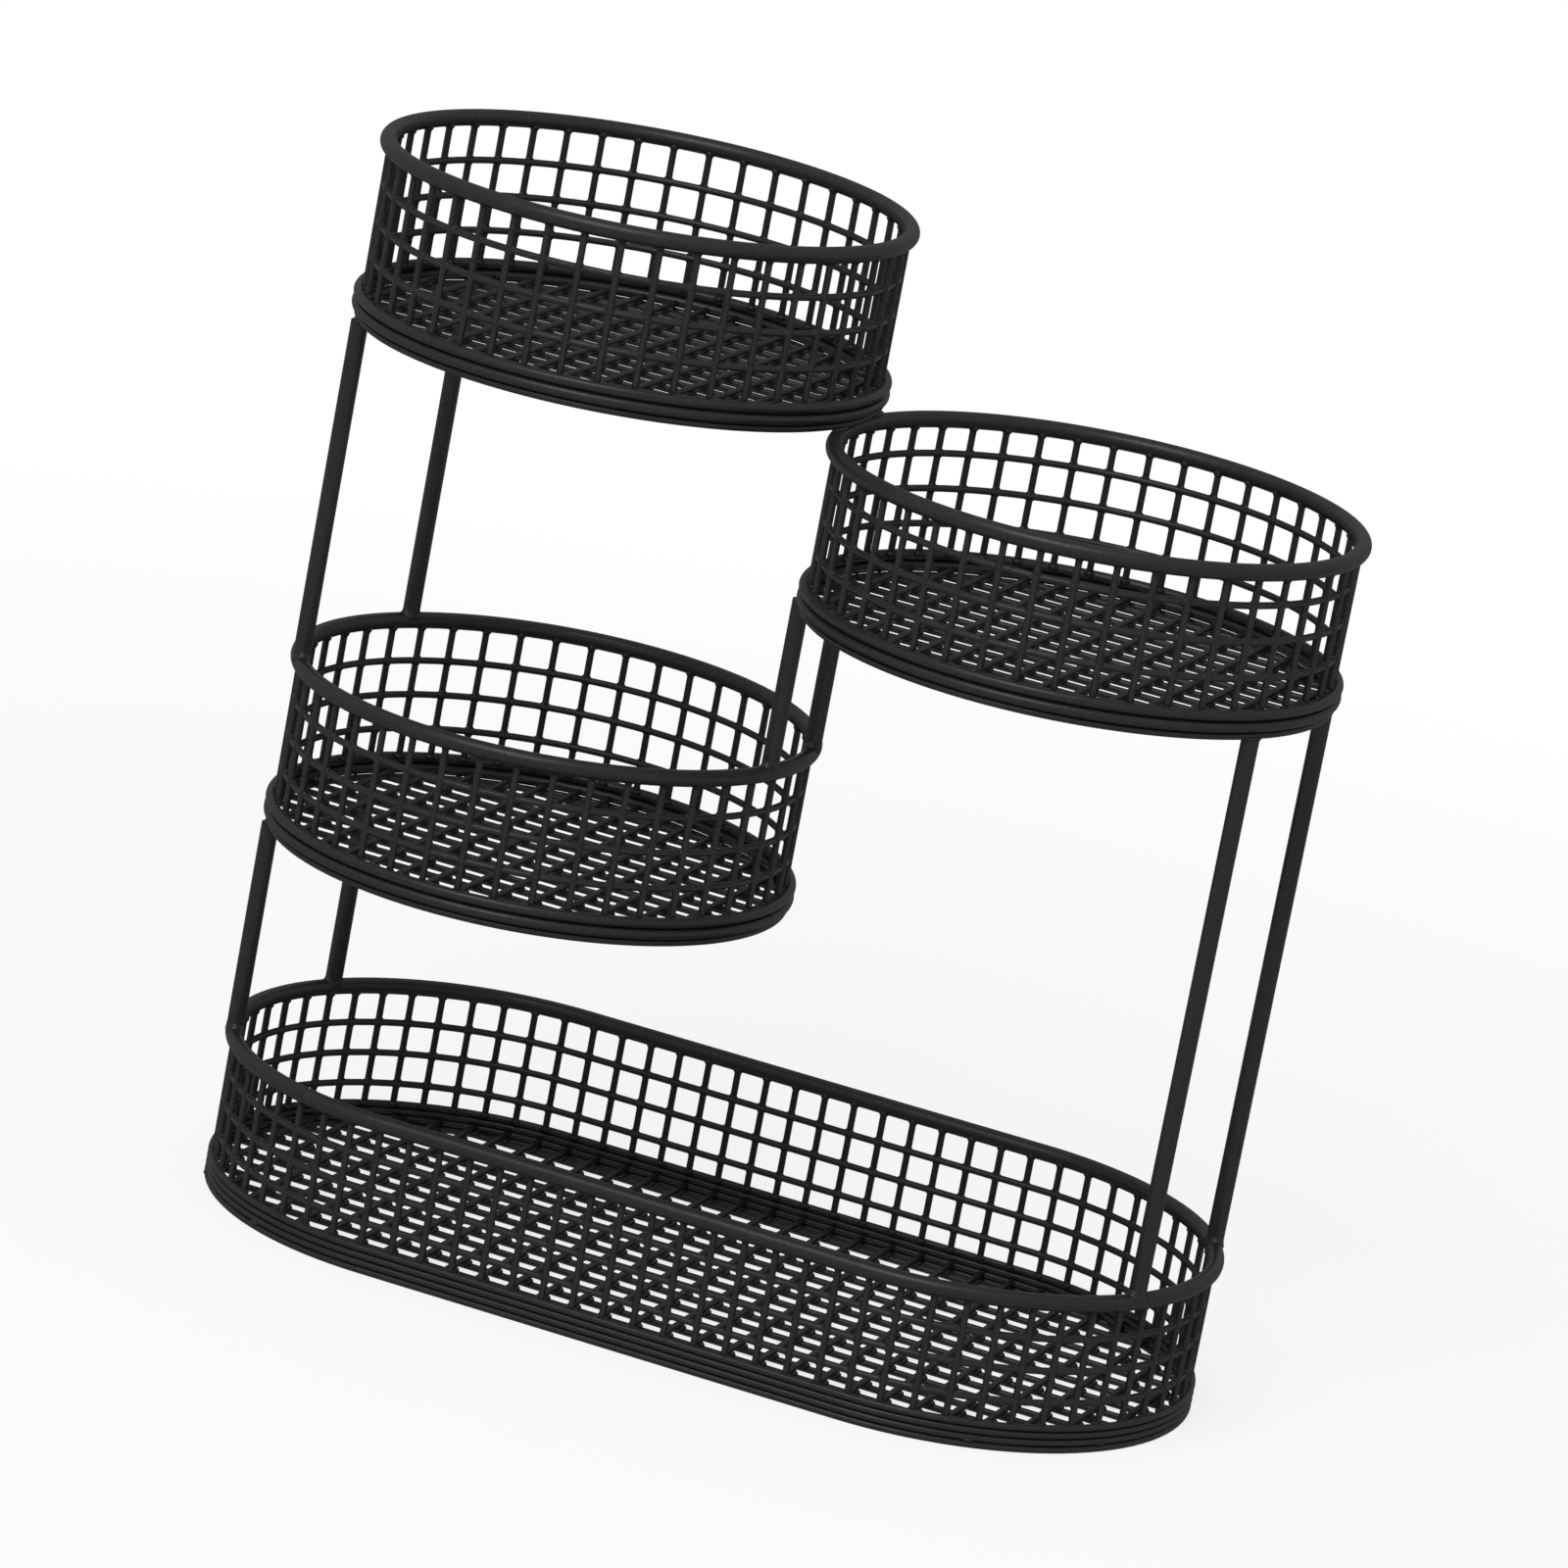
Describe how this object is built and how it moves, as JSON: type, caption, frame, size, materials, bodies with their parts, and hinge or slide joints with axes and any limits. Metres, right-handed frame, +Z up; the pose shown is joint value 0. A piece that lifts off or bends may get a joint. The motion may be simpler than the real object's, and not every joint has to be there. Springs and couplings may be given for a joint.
{
  "type": "tiered wire fruit basket",
  "caption": "Free-standing tiered basket: an oblong welded-wire base basket carries round wire-mesh baskets at staggered heights on straight posts.",
  "frame": {"origin": "middle of the base's footprint, on the table", "axes": "+Z up, +X towards the single right basket, -Y towards the front"},
  "size_m": [0.3916, 0.2006, 0.4039],
  "materials": {
    "powder_coat": "satin black powder coat with a fine grain"
  },
  "bodies": {
    "root": {"base_rim": "powder_coat", "middle_rim": "powder_coat", "right_rim": "powder_coat", "top_rim": "powder_coat", "base_uprights": "powder_coat", "middle_uprights": "powder_coat", "right_uprights": "powder_coat", "top_uprights": "powder_coat", "base_hoop_1": "powder_coat", "base_hoop_2": "powder_coat", "base_hoop_3": "powder_coat", "middle_hoop_1": "powder_coat", "middle_hoop_2": "powder_coat", "middle_hoop_3": "powder_coat", "right_hoop_1": "powder_coat", "right_hoop_2": "powder_coat", "right_hoop_3": "powder_coat", "top_hoop_1": "powder_coat", "top_hoop_2": "powder_coat", "top_hoop_3": "powder_coat", "base_band_ring_1": "powder_coat", "base_band_ring_2": "powder_coat", "base_band_ring_3": "powder_coat", "base_band_ring_4": "powder_coat", "middle_band_ring_1": "powder_coat", "middle_band_ring_2": "powder_coat", "middle_band_ring_3": "powder_coat", "right_band_ring_1": "powder_coat", "right_band_ring_2": "powder_coat", "right_band_ring_3": "powder_coat", "top_band_ring_1": "powder_coat", "top_band_ring_2": "powder_coat", "top_band_ring_3": "powder_coat", "base_floor_long_wires": "powder_coat", "middle_floor_long_wires": "powder_coat", "right_floor_long_wires": "powder_coat", "top_floor_long_wires": "powder_coat", "base_floor_cross_wires": "powder_coat", "middle_floor_cross_wires": "powder_coat", "right_floor_cross_wires": "powder_coat", "top_floor_cross_wires": "powder_coat", "left_lower_front_post": "powder_coat", "left_lower_back_post": "powder_coat", "left_upper_front_post": "powder_coat", "left_upper_back_post": "powder_coat", "right_front_post": "powder_coat", "right_back_post": "powder_coat", "inner_front_post": "powder_coat", "inner_back_post": "powder_coat"}
  },
  "joints": []
}
